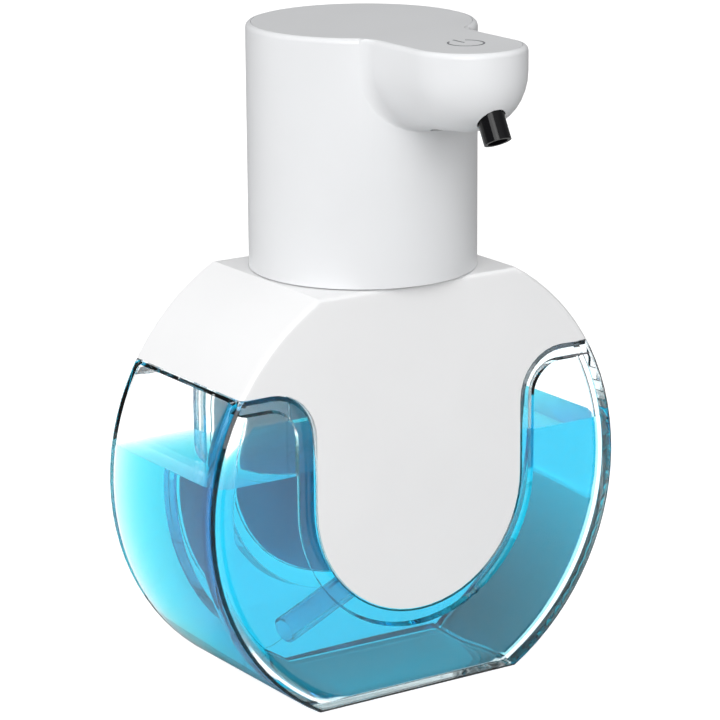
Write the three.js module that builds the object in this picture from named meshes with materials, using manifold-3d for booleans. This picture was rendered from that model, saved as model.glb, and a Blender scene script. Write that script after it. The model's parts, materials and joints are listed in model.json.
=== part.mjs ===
// A wall mounted automatic soap dispenser, as a three.js scene graph.
// Millimetres, +Z up, the front faces -Y. The origin is the centre of the adhesive pad's back
// face, on the wall. The dispenser itself is drawn in its own frame: z = 0 under the bottle,
// y = 0 in the middle of the bottle's depth.
import * as THREE from 'three';
import { mergeVertices } from 'three/addons/utils/BufferGeometryUtils.js';
import Module from 'manifold-3d';

const wasm = await Module();
wasm.setup();

// ---------------------------------------------------------------- sizes
const gap = 0.3; // between pieces that touch or fit into each other
const through = 1; // how far a cutter runs past the face that it cuts
const beyond = 10; // how far an endless cutter reaches outside the bottle

// Bottle: a flat disc on a flat base
const bottleRadius = 62;
const bottleDepth = 52;
const circleZ = 54; // centre of the disc above its base
const shoulderZ = 108.3; // flat top of the cover
const outerEdge = 1.6; // rounding of the disc's outer edges
const wall = 1.4;
const baseThickness = 1.8;
const innerEdge = 5.5; // rounding inside the front and back edges
const baseShare = 0.2; // of that rounding along the base
const frontPadWall = 1.8; // wall behind the front tongue
const backPadWall = 4.2; // wall behind the back tongue, which has the hook's recess
const padStart = 4.2; // distance from the cover's edge to the thicker wall's top edge
const padEnd = 4.9; // and to its foot
const sideStart = 1.8; // distance from the cover's edge to the ledge on the sides
const neckOuter = 19.6;
const neckInner = 16;
const neckHeight = 9.2; // above the cover's flat top
const neckTop = shoulderZ + neckHeight;

// Shoulder cover
const coverSkin = 2;
const coverEdgeZ = 86; // where the cover ends on the sides
const tongueHalf = 31.2;
const tongueFillet = 13;

// Wall bracket
const plateSize = 50;
const plateCorner = 8;
const plateThickness = 3;
const padSize = 46;
const padThickness = 1;
const mountZ = 72; // centre of the bracket above the bottle's base
const unhookTravel = 13; // lift that frees the hook
const hookHalf = 10; // half width of the T head
const hookHeight = 12;
const hookThickness = 1.7;
const hookRise = 14; // of the T head's top above the bracket's centre
const hookTopZ = mountZ + hookRise;
const stemHalf = 6;
const stemHeight = 6;
const stemDrop = 3; // from the head's top to the stem's top

// Seal between neck and head
const sealRadius = 1.05;
const sealDrop = 3.5; // below the neck's rim
const sealZ = neckTop - sealDrop;

// Suction tube
const tubeRadius = 2.5;
const tubeBore = 1.6;
const footRadius = 3.9; // its wider foot
const footBore = 3;
const footLength = 20;
const footTaper = 13;
const tubeSocketDepth = 8;
const tubeBendZ = 45; // where the tube leaves the axis
const tubeEnd = [-32, -6.5, 18.8]; // its open end, near the bottle's left corner

// Battery, which sets the head's height
const cellRadius = 7;
const cellLength = 43;
const cellAngle = 152.7; // of its centre about the head's axis
const clipWall = 0.9;
const clipFloor = 1.6;
const clipHeight = 16;

// Chassis, the floor of the head
const neckRoom = 1.5; // between the neck's rim and the chassis
const chassisZ = neckTop + neckRoom;
const chassisThickness = 2.4;
const chassisTop = chassisZ + chassisThickness;
const skirtWall = 1.5;
const skirtLift = 1.2; // of the skirt's foot above the cover
const skirtBottomZ = shoulderZ + skirtLift;
const nippleRadius = 2;
const nippleBore = 1.2;
const nippleLength = 2.6;

// Motor, board and charging socket, which set the drum's radius
const driveX = 6; // axis of the motor and the driven gear
const motorRadius = 10;
const motorHeight = 20;
const endcapHeight = 2.6;
const tabHeight = 2; // of its two terminals
const chipHeight = 1.2;
const boardX = driveX + motorRadius + gap + chipHeight;
const boardThickness = 1.6;
const boardWidth = 28;
const boardHeight = 38;
const portWidth = 9;
const portHeight = 3.2;
const portDepth = 6.5;
const portRoom = 1.2; // between the socket's mouth and the shell

// Gear pump under the motor
const pumpLift = 11.6; // above the chassis
const pumpFloor = 3;
const gearThickness = 4.4;
const pumpLid = 2;
const pumpFloorZ = chassisTop + pumpLift;
const gearZ = pumpFloorZ + pumpFloor + gap;
const pumpTopZ = gearZ + gearThickness + gap;
const pumpLidTop = pumpTopZ + pumpLid;
const motorZ = pumpLidTop + gap;
const endcapZ = motorZ + motorHeight + gap;

// Head. Its drum clears the socket on the board, and the screws outside the chassis's skirt.
const screwHeadRadius = 1.8;
const bossRadius = 3;
const bossInset = bossRadius - 0.75; // of the bosses' centres from the drum's inner face
const sealOuter = neckOuter + gap + sealRadius;
const skirtOuter = sealOuter + gap + skirtWall;
const headWall = 2.2;
const headRadius = headWall + Math.max(
  boardX + boardThickness + gap + portDepth + portRoom,
  skirtOuter + gap + screwHeadRadius + bossInset,
);
const headEdge = 1.3; // rounding of the top edge
const cellRing = headRadius - headWall - cellRadius - gap - clipWall - 1.46;
const cellX = cellRing * Math.cos((cellAngle * Math.PI) / 180);
const cellY = cellRing * Math.sin((cellAngle * Math.PI) / 180);
const lidThickness = 1.9;
const lidGap = 0.12;
const cellZ = chassisTop + 2 * gap + clipFloor;
const lidRoom = 1.1; // between the lid and the higher of the motor and the battery
const lidZ = lidRoom + Math.max(cellZ + cellLength, endcapZ + endcapHeight + tabHeight);
const headTop = lidZ + lidThickness;
const spoutHalf = 14.8; // half width of the spout, and the radius of its tip
const spoutReach = 60.6; // from the head's axis to the tip
const spoutSide = 6.2; // height of the spout's upright side, down to the belly
const bellyDepth = 16.8; // of the belly under it, at the drum
const spoutSideZ = headTop - spoutSide;
const keelRootZ = spoutSideZ - bellyDepth;
const keelRise = 1.9; // of the belly's lowest line, from the drum to the tip's centre
const spoutFillet = 4.6; // between the spout's sides and the drum
const keelFillet = 0.9; // between the belly and the drum
const bellyPower = 2.1; // superellipse power of the belly

// Screws
const screwRadius = 1;
const screwHeadHeight = 1.4;
const screwLength = 8;
const screwAngles = [60, 180, 300];
const bossRing = headRadius - headWall - bossInset;
const bossHeight = 9.5;

// Gear pump and motor, on one upright axis
const gearTeeth = 8;
const gearSpacing = 7;
const gearOuter = 4.3;
const gearRoot = 2.35;
const toothRoot = 0.26; // half width of a tooth at its root, pitch line and tip, as shares of
const toothPitch = 0.2; // the angle from tooth to tooth
const toothTip = 0.08;
const pumpWall = 2;
const earRadius = 2.4;
const earHeight = 2.5;
const earAngle = 65.5; // of the ears about their gear's axis, from the line of the gears
const shaftRadius = 1;
const shaftInMotor = 4;
const hoseRadius = 3.2;

// Nozzle
const nozzleRadius = 3.4;
const nozzleBore = 2.5;
const nozzleLength = 12;
const nozzleTilt = 28; // degrees from upright, leaning forward
const nozzleInset = 2; // of its mouth from the spout's tip
const nozzleDrop = 0.8; // of its mouth below the belly
const nozzleEndY = -(spoutReach - nozzleInset);
const nozzleEndZ = keelRootZ + keelRise - nozzleDrop;
const barbLength = 3;

// Boards and sensor
const railY = 9; // of the two blocks that hold the board's foot
const railHalf = 2.5;
const railHeight = 5;
const railDepth = 2; // of each block before and behind the board
const portZ = chassisTop + 6.2;
const plugWidth = 13;
const plugHeight = 7;
const plugThickness = 1.1;
const plugTongue = 5.5;
const touchInset = 16.6; // of the touch key's centre from the spout's tip
const touchY = -(spoutReach - touchInset);
const touchRadius = 8;
const touchThickness = 1.2;
const sensorReach = 8.9; // of the sensor's centre behind the end of the nozzle's barb
const sensorBoardHalf = 2.4;
const lensRadius = 3.4;
const lensSkin = 1.8;
const ledRadius = 1.4;
const ledSpacing = 3.5;
const ledHeight = 2.8;
const ledLift = 1.1; // from the shell's inner skin to the lamp's dome
const sensorBoardThickness = 0.8;

// Roundness
const discSteps = 30;
const roundSteps = 48;
const edgeSteps = 3;
const innerSteps = 6;
const filletSteps = 6;

// ---------------------------------------------------------------- materials
function finish(color, roughness, metalness = 0, extra = {}) {
  return new THREE.MeshStandardMaterial({ color, roughness, metalness, ...extra });
}

// ---------------------------------------------------------------- solids
const rad = THREE.MathUtils.degToRad;

function toSolid(geometry) {
  const bare = geometry.clone();
  bare.deleteAttribute('normal');
  bare.deleteAttribute('uv');
  const merged = mergeVertices(bare, 1e-4);
  const corners = merged.index.array;
  const faces = [];
  for (let i = 0; i < corners.length; i += 3) {
    const [a, b, c] = [corners[i], corners[i + 1], corners[i + 2]];
    if (a !== b && b !== c && c !== a) {
      faces.push(a, b, c);
    }
  }
  return new wasm.Manifold(new wasm.Mesh({
    numProp: 3,
    vertProperties: new Float32Array(merged.attributes.position.array),
    triVerts: new Uint32Array(faces),
  }));
}

function toGeometry(solid) {
  const mesh = solid.getMesh();
  const geometry = new THREE.BufferGeometry();
  geometry.setAttribute('position', new THREE.BufferAttribute(mesh.vertProperties, 3));
  geometry.setIndex(new THREE.BufferAttribute(mesh.triVerts, 1));
  geometry.computeVertexNormals();
  return geometry;
}

const join = (first, ...others) => others.reduce((sum, solid) => sum.add(solid), first);
const cut = (first, ...others) => others.reduce((rest, solid) => rest.subtract(solid), first);

// Points on an arc, both ends included; angles in radians
function arc(x, y, radius, from, to, steps) {
  const points = [];
  for (let i = 0; i <= steps; i += 1) {
    const angle = from + ((to - from) * i) / steps;
    points.push(new THREE.Vector2(x + radius * Math.cos(angle), y + radius * Math.sin(angle)));
  }
  return points;
}

// A closed body through rings of equal length, with a cap on the first and the last
function loft(rings) {
  const count = rings[0].length;
  const positions = rings.flat().flatMap((point) => [point.x, point.y, point.z]);
  const index = [];
  for (let ring = 0; ring + 1 < rings.length; ring += 1) {
    for (let i = 0; i < count; i += 1) {
      const next = (i + 1) % count;
      const [a, b] = [ring * count + i, ring * count + next];
      index.push(a, b, b + count, a, b + count, a + count);
    }
  }
  const cap = (ring, flip) => {
    const extent = new THREE.Box3().setFromPoints(ring).getSize(new THREE.Vector3());
    const flat = extent.z < Math.min(extent.x, extent.y)
      ? ring.map((p) => new THREE.Vector2(p.x, p.y))
      : ring.map((p) => new THREE.Vector2(p.x, p.z));
    const offset = flip ? 0 : (rings.length - 1) * count;
    const turned = THREE.ShapeUtils.area(flat) < 0;
    const contour = turned ? flat.slice().reverse() : flat;
    const place = (i) => offset + (turned ? count - 1 - i : i);
    for (const [a, b, c] of THREE.ShapeUtils.triangulateShape(contour, [])) {
      if (flip !== turned) {
        index.push(place(a), place(c), place(b));
      } else {
        index.push(place(a), place(b), place(c));
      }
    }
  };
  cap(rings[0], true);
  cap(rings[rings.length - 1], false);
  const geometry = new THREE.BufferGeometry();
  geometry.setAttribute('position', new THREE.Float32BufferAttribute(positions, 3));
  geometry.setIndex(index);
  return toSolid(geometry);
}

// A body along Y through outlines drawn in X and Z, from the front to the back.
// The outlines run anticlockwise as seen from the front.
const alongY = (levels) => loft(levels.map(([y, outline]) => outline
  .map((point) => new THREE.Vector3(point.x, y, point.y))).reverse());

// A body along Z through outlines drawn in X and Y
const alongZ = (levels) => loft(levels.map(([z, outline]) => outline
  .map((point) => new THREE.Vector3(point.x, point.y, z))));

// A round bar along Z between two heights
function bar(radius, low, high, x = 0, y = 0, steps = 24) {
  const geometry = new THREE.CylinderGeometry(radius, radius, high - low, steps);
  geometry.rotateX(Math.PI / 2);
  return toSolid(geometry.translate(x, y, (low + high) / 2));
}

// A box given by its limits
function block(x0, x1, y0, y1, z0, z1) {
  const geometry = new THREE.BoxGeometry(x1 - x0, y1 - y0, z1 - z0);
  return toSolid(geometry.translate((x0 + x1) / 2, (y0 + y1) / 2, (z0 + z1) / 2));
}

// A turned body about Z from a profile of [radius, z] points
function turned(profile, steps = roundSteps) {
  const geometry = new THREE.LatheGeometry(profile.map(([r, z]) => new THREE.Vector2(r, z)), steps);
  return toSolid(geometry.rotateX(Math.PI / 2));
}

// A rectangle with round corners, centred on [x, y]
function roundedBox(halfWidth, halfHeight, corner, x = 0, y = 0) {
  const [w, h] = [halfWidth - corner, halfHeight - corner];
  const quarter = Math.PI / 2;
  return [
    ...arc(x + w, y + h, corner, 0, quarter, 4),
    ...arc(x - w, y + h, corner, quarter, 2 * quarter, 4),
    ...arc(x - w, y - h, corner, 2 * quarter, 3 * quarter, 4),
    ...arc(x + w, y - h, corner, 3 * quarter, 4 * quarter, 4),
  ];
}

// A round hose or tube along a curve, open at both ends
function hose(points, radius, bore, steps, sides = 8) {
  const section = new THREE.Shape().absarc(0, 0, radius, 0, 2 * Math.PI);
  section.holes.push(new THREE.Path().absarc(0, 0, bore, 0, 2 * Math.PI, true));
  const path = new THREE.CatmullRomCurve3(points.map((point) => new THREE.Vector3(...point)));
  return toSolid(new THREE.ExtrudeGeometry(section, {
    steps, curveSegments: sides / 2, bevelEnabled: false, extrudePath: path,
  }));
}

// ---------------------------------------------------------------- bottle and cover
// The disc's front view, shrunk by an inset
function discOutline(radius, low, high) {
  const [from, to] = [Math.asin((low - circleZ) / radius), Math.asin((high - circleZ) / radius)];
  return [
    ...arc(0, circleZ, radius, from, to, discSteps),
    ...arc(0, circleZ, radius, Math.PI - to, Math.PI - from, discSteps),
  ];
}

// The white part's front view, grown by an offset: everything above the cover's edge, and the
// tongue with its round end
function coverOutline(offset) {
  const side = bottleRadius + beyond;
  const roof = shoulderZ + beyond;
  const half = tongueHalf + offset;
  const [cornerX, cornerZ] = [tongueHalf + tongueFillet, coverEdgeZ - tongueFillet];
  const corner = tongueFillet - offset;
  const quarter = Math.PI / 2;
  return [
    new THREE.Vector2(side, roof),
    new THREE.Vector2(-side, roof),
    new THREE.Vector2(-side, coverEdgeZ - offset),
    ...arc(-cornerX, cornerZ, corner, quarter, 0, 8),
    ...arc(0, circleZ, half, Math.PI, 2 * Math.PI, discSteps),
    ...arc(cornerX, cornerZ, corner, 2 * quarter, quarter, 8),
    new THREE.Vector2(side, coverEdgeZ - offset),
  ];
}

const front = -bottleDepth / 2;
const back = bottleDepth / 2;

// A disc with rounded front and back edges, a skin's thickness inside the outer form
function discForm(skin, rounding, low, high, steps, share = 1) {
  const levels = [];
  for (let i = 0; i <= steps; i += 1) {
    const angle = (Math.PI / 2) * (i / steps);
    const inset = rounding * (1 - Math.sin(angle));
    const y = front + skin + rounding * (1 - Math.cos(angle));
    levels.push([y, discOutline(bottleRadius - skin - inset, low + share * inset, high - inset)]);
  }
  const mirrored = levels.map(([y, outline]) => [-y, outline]).reverse();
  return alongY([...levels, ...mirrored]);
}

const outerForm = () => discForm(0, outerEdge, 0, shoulderZ, edgeSteps);

// The form that lies under the cover, a skin's thickness inside the outer one
function underCover(skin) {
  const outline = discOutline(bottleRadius - skin, skin, shoulderZ - skin);
  return alongY([[front + skin, outline], [back - skin, outline]]);
}

const coverBlock = (offset) => alongY([
  [front - through, coverOutline(offset)],
  [back + through, coverOutline(offset)],
]);

// The clear body is seen through on both sides of the tongue. Its front and back walls step back
// behind the tongues and under the cover.
function bottleCavity() {
  const inset = coverSkin + gap;
  const [padFront, padBack] = [front + inset + frontPadWall, back - inset - backPadWall];
  const coreRadius = bottleRadius - inset - wall;
  const core = discOutline(coreRadius, baseThickness, shoulderZ - inset - wall);
  const frontPad = alongY([[front, coverOutline(padEnd)], [front + wall, coverOutline(padEnd)],
    [padFront, coverOutline(padStart)]]);
  const backPad = alongY([[padBack, coverOutline(padStart)], [back - wall, coverOutline(padEnd)],
    [back, coverOutline(padEnd)]]);
  const inner = discForm(wall, innerEdge, baseThickness, coverEdgeZ - sideStart, innerSteps,
    baseShare);
  const windows = cut(inner, frontPad, backPad);
  return join(alongY([[padFront, core], [padBack, core]]), windows);
}

const hookBottomZ = hookTopZ - hookHeight;
const stemTopZ = hookTopZ - stemDrop;
const entryTopZ = hookTopZ - unhookTravel + 2 * gap;
const entryBottomZ = hookBottomZ - unhookTravel - 2 * gap;
const hookFrontY = back - coverSkin - gap - hookThickness;

function hangingSlot() {
  const entry = roundedBox(hookHalf + 2 * gap, (entryTopZ - entryBottomZ) / 2, 1.5,
    0, (entryTopZ + entryBottomZ) / 2);
  const slotTop = stemTopZ + gap;
  const slot = roundedBox(stemHalf + gap, (slotTop - entryBottomZ) / 2, 1,
    0, (slotTop + entryBottomZ) / 2);
  const [y0, y1] = [back - coverSkin - through, back + through];
  return join(alongY([[y0, entry], [y1, entry]]), alongY([[y0, slot], [y1, slot]]));
}

function hookRecess() {
  const top = hookTopZ + 2 * gap;
  const outline = roundedBox(hookHalf + 2 * gap, (top - entryBottomZ) / 2, 1.5,
    0, (top + entryBottomZ) / 2);
  return alongY([[hookFrontY - gap, outline], [back + through, outline]]);
}

function bottle() {
  const skin = coverSkin + gap;
  const body = join(
    cut(outerForm(), coverBlock(gap)),
    underCover(skin),
    turned([[0, shoulderZ - 5], [neckOuter, shoulderZ - 5], [neckOuter, neckTop - 0.8],
      [neckOuter - 0.8, neckTop], [0, neckTop]]),
  );
  const grooveFloor = neckOuter - sealRadius;
  const groove = turned([[grooveFloor, sealZ - sealRadius - gap], [neckOuter + through,
    sealZ - sealRadius - gap], [neckOuter + through, sealZ + sealRadius + gap],
  [grooveFloor, sealZ + sealRadius + gap], [grooveFloor, sealZ - sealRadius - gap]]);
  const bore = bar(neckInner, shoulderZ - beyond, neckTop + through, 0, 0, roundSteps);
  return cut(body, bottleCavity(), bore, groove, hookRecess());
}

function shoulderCover() {
  const skin = outerForm().intersect(coverBlock(0));
  const neckHole = bar(neckOuter + 2 * gap, shoulderZ - beyond, shoulderZ + through, 0, 0,
    roundSteps);
  return cut(skin, underCover(coverSkin), neckHole, hangingSlot());
}

function sealRing() {
  return toSolid(new THREE.TorusGeometry(neckOuter + gap, sealRadius, 8, 36)
    .translate(0, 0, sealZ));
}

// ---------------------------------------------------------------- wall bracket
function wallPlate() {
  const [y0, y1] = [back + gap, back + gap + plateThickness];
  const plate = (inset) => roundedBox(plateSize / 2 - inset, plateSize / 2 - inset,
    plateCorner - inset, 0, mountZ);
  const stem = roundedBox(stemHalf, stemHeight / 2, 0.8, 0, stemTopZ - stemHeight / 2);
  const head = roundedBox(hookHalf, hookHeight / 2, 1.2, 0, hookTopZ - hookHeight / 2);
  return join(
    alongY([[y0, plate(1)], [y0 + 1, plate(0)], [y1, plate(0)]]),
    alongY([[hookFrontY, stem], [y0 + through, stem]]),
    alongY([[hookFrontY, head], [hookFrontY + hookThickness, head]]),
  );
}

function adhesivePad() {
  const y = back + gap + plateThickness;
  const outline = roundedBox(padSize / 2, padSize / 2, plateCorner - 2, 0, mountZ);
  return alongY([[y, outline], [y + padThickness, outline]]);
}

// ---------------------------------------------------------------- head shell
// Half section of the spout, from the top's outer corner down to the keel, as [half width, z]
function spoutSection(keelZ, inset, top) {
  const half = spoutHalf - inset;
  const depth = spoutSideZ - (keelZ + inset);
  const edge = inset > 0 ? 0 : headEdge;
  const points = [];
  for (let i = 0; i <= edgeSteps; i += 1) {
    const angle = (Math.PI / 2) * (i / edgeSteps);
    points.push([half - edge * (1 - Math.sin(angle)), top - edge * (1 - Math.cos(angle))]);
  }
  const bellySteps = 10;
  for (let i = 0; i <= bellySteps; i += 1) {
    const angle = (Math.PI / 2) * (i / bellySteps);
    points.push([half * Math.cos(angle) ** (2 / bellyPower),
      spoutSideZ - depth * Math.sin(angle) ** (2 / bellyPower)]);
  }
  return points;
}

// The spout is lofted forward from the drum: a fillet that leaves the drum's round face along its
// tangent, straight rings, then rings that turn about the tip's centre
function spoutForm(inset, top) {
  const tipY = -(spoutReach - spoutHalf);
  const whole = (half, place) => [
    ...half.map((point, i) => place(point, -1, i)),
    ...half.slice(0, -1).reverse().map((point, i) => place(point, 1, half.length - 2 - i)),
  ];
  const keelAt = (y) => keelRootZ + keelRise * ((-y - headRadius) / (-tipY - headRadius));
  const rings = [];
  const root = spoutSection(keelRootZ, inset, top);
  if (inset > 0) {
    const inside = -headRadius / 2;
    rings.push(whole(root, ([x, z], side) => new THREE.Vector3(side * x, inside, z)));
  } else {
    for (let step = -1; step <= filletSteps; step += 1) {
      const share = 1 - Math.max(0, step) / filletSteps;
      rings.push(whole(root, ([x, z], side, i) => {
        const below = Math.max(0, (i - edgeSteps - 1) / (root.length - edgeSteps - 2));
        const lean = (Math.PI / 2) * below;
        const away = (x + spoutFillet) / (headRadius + spoutFillet);
        const fullTurn = Math.acos(Math.cos(lean) * away);
        const out = (turn) => x + spoutFillet * (1 - Math.cos(turn)) * Math.cos(lean);
        const centre = -Math.sqrt(headRadius ** 2 - out(fullTurn) ** 2)
          - spoutFillet * Math.sin(fullTurn);
        const turn = fullTurn * share;
        const y = centre + spoutFillet * Math.sin(turn) + (step < 0 ? headWall : 0);
        return new THREE.Vector3(side * out(turn), y,
          z - keelFillet * (1 - Math.cos(turn)) * Math.sin(lean));
      }));
    }
  }
  for (const share of [0.35, 0.7, 1]) {
    const y = -headRadius - spoutFillet + (tipY + headRadius + spoutFillet) * share;
    const section = spoutSection(keelAt(y), inset, top);
    rings.push(whole(section, ([x, z], side) => new THREE.Vector3(side * x, y, z)));
  }
  const tip = spoutSection(keelAt(tipY), inset, top);
  const tipSteps = 10;
  for (let i = 1; i <= tipSteps; i += 1) {
    const angle = (Math.PI / 2) * (i / tipSteps);
    rings.push(whole(tip, ([r, z], side) => new THREE.Vector3(
      i === tipSteps ? 0 : side * r * Math.cos(angle), tipY - r * Math.sin(angle), z)));
  }
  return loft(rings);
}

// The head's top view, shrunk by an inset
function headOutline(inset) {
  const filletX = spoutHalf + spoutFillet;
  const filletY = -Math.sqrt((headRadius + spoutFillet) ** 2 - filletX ** 2);
  const start = Math.atan2(filletY, filletX);
  const corner = spoutFillet + inset;
  const turn = Math.atan2(-filletY, filletX);
  const tipY = -(spoutReach - spoutHalf);
  return [
    ...arc(0, 0, headRadius - inset, start, Math.PI - start, roundSteps),
    ...arc(-filletX, filletY, corner, turn, 0, 5),
    ...arc(0, tipY, spoutHalf - inset, Math.PI, 2 * Math.PI, 20),
    ...arc(filletX, filletY, corner, Math.PI, Math.PI - turn, 5),
  ];
}

const headBottom = shoulderZ + gap;

// Outer form of drum and spout together
function headForm() {
  const profile = [[0, headBottom], [headRadius, headBottom]];
  for (let i = 0; i <= edgeSteps; i += 1) {
    const angle = (Math.PI / 2) * (i / edgeSteps);
    profile.push([headRadius - headEdge * (1 - Math.cos(angle)),
      headTop - headEdge * (1 - Math.sin(angle))]);
  }
  return join(turned([...profile, [0, headTop]], 72), spoutForm(0, headTop));
}

// An upright bar through the belly, for the sensor's lens and its hole
const lensBar = (radius) => bar(radius, keelRootZ - headWall, keelRootZ + 4 * headWall,
  0, sensorY);

const nozzleAim = new THREE.Vector3(0, -Math.sin(rad(nozzleTilt)), -Math.cos(rad(nozzleTilt)));
const nozzleEnd = new THREE.Vector3(0, nozzleEndY, nozzleEndZ);

// The barb for the hose leaves the tilted tube level, towards the drum. The hose stops at the
// seat, where its rim clears the tube's leaning side.
const barbZ = nozzleEndZ - nozzleAim.z * (nozzleLength - nozzleRadius);
const barbRootY = nozzleEndY - nozzleAim.y * (nozzleLength - nozzleRadius);
const barbSeatY = barbRootY + nozzleRadius / Math.cos(rad(nozzleTilt))
  + hoseRadius * Math.tan(rad(nozzleTilt)) + 2 * gap;
const sensorY = barbSeatY + barbLength + sensorReach;

// A round bar on the nozzle's axis, between two distances back from its mouth
function nozzleBar(radius, from, to, steps = 24) {
  const geometry = new THREE.CylinderGeometry(radius, radius, to - from, steps);
  geometry.translate(0, (from + to) / 2, 0);
  const upward = nozzleAim.clone().negate();
  geometry.applyQuaternion(new THREE.Quaternion()
    .setFromUnitVectors(new THREE.Vector3(0, 1, 0), upward));
  return toSolid(geometry.translate(nozzleEnd.x, nozzleEnd.y, nozzleEnd.z));
}

const bossCentres = screwAngles.map((angle) => [
  bossRing * Math.cos(rad(angle)), bossRing * Math.sin(rad(angle))]);
const boardFootZ = chassisTop + 1 + gap;

// A slab across the +X side for the charging port, between two x values
const portSlab = (halfWidth, halfHeight, corner, x0, x1) => {
  const outline = roundedBox(halfWidth, halfHeight, corner, 0, portZ);
  return alongY([[-x1, outline], [-x0, outline]]).rotate([0, 0, 90]);
};
const plugSeatX = headRadius - plugThickness - gap;

function headShell() {
  const innerRadius = headRadius - headWall;
  const above = headTop + through;
  const lidSeat = alongZ([[lidZ - gap, headOutline(headEdge)], [above, headOutline(headEdge)]]);
  const hollow = cut(
    headForm(),
    bar(innerRadius, headBottom - through, above, 0, 0, 72),
    spoutForm(headWall, above),
    lidSeat,
  );
  const bosses = bossCentres.map(([x, y]) => bar(bossRadius, chassisTop + gap,
    chassisTop + gap + bossHeight, x, y));
  const pilots = bossCentres.map(([x, y]) => bar(screwRadius + gap, chassisTop,
    chassisZ + screwLength + 2, x, y, 16));
  return cut(
    join(hollow, ...bosses.map((boss) => boss.intersect(bar(headRadius - 1, headBottom, headTop,
      0, 0, 72)))),
    ...pilots,
    nozzleBar(nozzleRadius + gap, -through, nozzleLength),
    lensBar(lensRadius + gap),
    portSlab(portWidth / 2 + 0.4, portHeight / 2 + 0.4, 1.6, innerRadius - 3, headRadius + 1),
    portSlab(plugWidth / 2 + gap, plugHeight / 2 + gap, 2, plugSeatX, headRadius + 1),
  );
}

function topCover() {
  const outline = headOutline(headEdge + lidGap);
  return alongZ([[lidZ, outline], [headTop, outline]]);
}

function sensorWindow() {
  return headForm().intersect(lensBar(lensRadius))
    .subtract(spoutForm(lensSkin, headTop + through));
}

// ---------------------------------------------------------------- chassis
const chamber = gearOuter + gap + 0.1;
const earReach = chamber + pumpWall + earRadius - 0.2; // from the gear's axis to the screw's
const postCentres = [1, -1].map((side) => [
  (side > 0 ? driveX : driveX - gearSpacing) + side * earReach * Math.cos(rad(earAngle)),
  side * earReach * Math.sin(rad(earAngle))]);
const ventX = -12;
const ventY = -4;

function headChassis() {
  const socket = tubeRadius + gap;
  const skirtInner = sealOuter + gap;
  const socketTop = skirtBottomZ + 0.5 + tubeSocketDepth;
  const discRadius = headRadius - headWall - gap;
  const floor = turned([
    [socket, skirtBottomZ + 0.5], [socket + 1.8, skirtBottomZ + 0.5], [socket + 1.8, chassisZ],
    [skirtInner, chassisZ], [skirtInner, skirtBottomZ], [skirtInner + skirtWall, skirtBottomZ],
    [skirtInner + skirtWall, chassisZ], [discRadius, chassisZ], [discRadius, chassisTop],
    [nippleRadius, chassisTop], [nippleRadius, chassisTop + nippleLength],
    [nippleBore, chassisTop + nippleLength], [nippleBore, socketTop], [socket, socketTop],
    [socket, skirtBottomZ + 0.5],
  ]);
  const posts = postCentres.map(([x, y]) => bar(earRadius, chassisTop - 0.5,
    pumpFloorZ - gap, x, y));
  const pilots = postCentres.map(([x, y]) => bar(screwRadius + gap,
    pumpFloorZ - screwLength, pumpFloorZ, x, y, 16));
  const rails = [-1, 1].map((side) => block(boardX - railDepth,
    boardX + boardThickness + railDepth, side * railY - railHalf, side * railY + railHalf,
    chassisTop - 0.5, chassisTop + railHeight));
  const railSlot = block(boardX - gap, boardX + boardThickness + gap, -boardWidth / 2 - gap,
    boardWidth / 2 + gap, boardFootZ - gap, chassisTop + railHeight + through);
  return cut(
    join(floor, ...posts, ...rails),
    railSlot,
    ...pilots,
    ...bossCentres.map(([x, y]) => bar(screwRadius + gap, chassisZ - through,
      chassisTop + through, x, y, 16)),
    bar(1.5, chassisZ - through, chassisTop + through, ventX, ventY, 16),
  );
}

// A pan head screw along +Z, with its head's underside at z = 0 and a dished recess
function screw() {
  const tip = 1;
  return toGeometry(turned([
    [0, -screwHeadHeight / 2], [0.8, -screwHeadHeight], [1.5, -screwHeadHeight],
    [screwHeadRadius, -screwHeadHeight / 2], [screwHeadRadius, 0], [screwRadius, 0],
    [screwRadius, screwLength - tip], [0.2, screwLength], [0, screwLength],
  ], 12));
}

// A mushroom valve: dome above the floor, stem through it, knob below
function ventValve() {
  return turned([
    [0, chassisZ - 2.6], [1, chassisZ - 2.4], [1.9, chassisZ - 1.2], [1.9, chassisZ - gap],
    [1.2, chassisZ - gap], [1.2, chassisTop + gap], [2.8, chassisTop + gap],
    [2.6, chassisTop + 0.7], [1.4, chassisTop + 1.2], [0, chassisTop + 1.3],
  ], 20).translate([ventX, ventY, 0]);
}

// ---------------------------------------------------------------- pump and motor
const idlerX = driveX - gearSpacing;
const pumpMiddleX = (driveX + idlerX) / 2;
const portY = 3.5; // of the pump's own inlet and outlet, from the line of the gears

function pumpOutline(radius) {
  const quarter = Math.PI / 2;
  return [
    ...arc(driveX, 0, radius, -quarter, quarter, 14),
    ...arc(idlerX, 0, radius, quarter, 3 * quarter, 14),
  ];
}

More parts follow.
